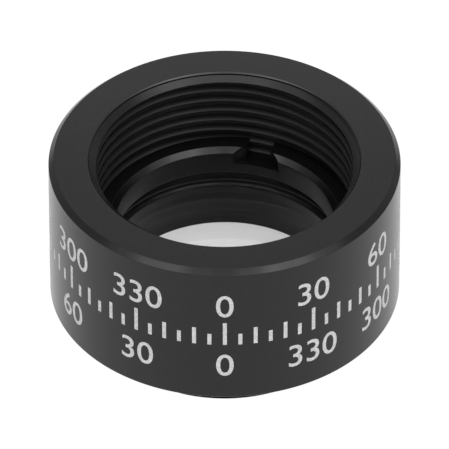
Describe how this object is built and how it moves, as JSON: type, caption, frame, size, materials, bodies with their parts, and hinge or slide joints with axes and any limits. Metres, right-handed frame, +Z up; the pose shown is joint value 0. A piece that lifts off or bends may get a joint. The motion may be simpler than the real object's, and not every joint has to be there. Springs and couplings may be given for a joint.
{
  "type": "mounted plano-convex lens",
  "caption": "Plano-convex lens held in a turned, black anodised cell by a slotted retaining ring, with an internal thread above and an external threaded boss below.",
  "frame": {"origin": "centre of the end face of the threaded boss, which the cell stands on", "axes": "+Z up along the optical axis, from the boss to the threaded mouth; -Y towards the viewer of the picture, with +X to the right"},
  "size_m": [0.0178, 0.0178, 0.0104],
  "materials": {
    "anodised_cell": "matt black anodised",
    "anodised_ring": "matt black anodised",
    "optical_glass": "polished, anti-reflection coated"
  },
  "bodies": {
    "root": {"housing": "anodised_cell", "plano_convex_lens": "optical_glass", "retaining_ring": "anodised_ring"}
  },
  "joints": []
}
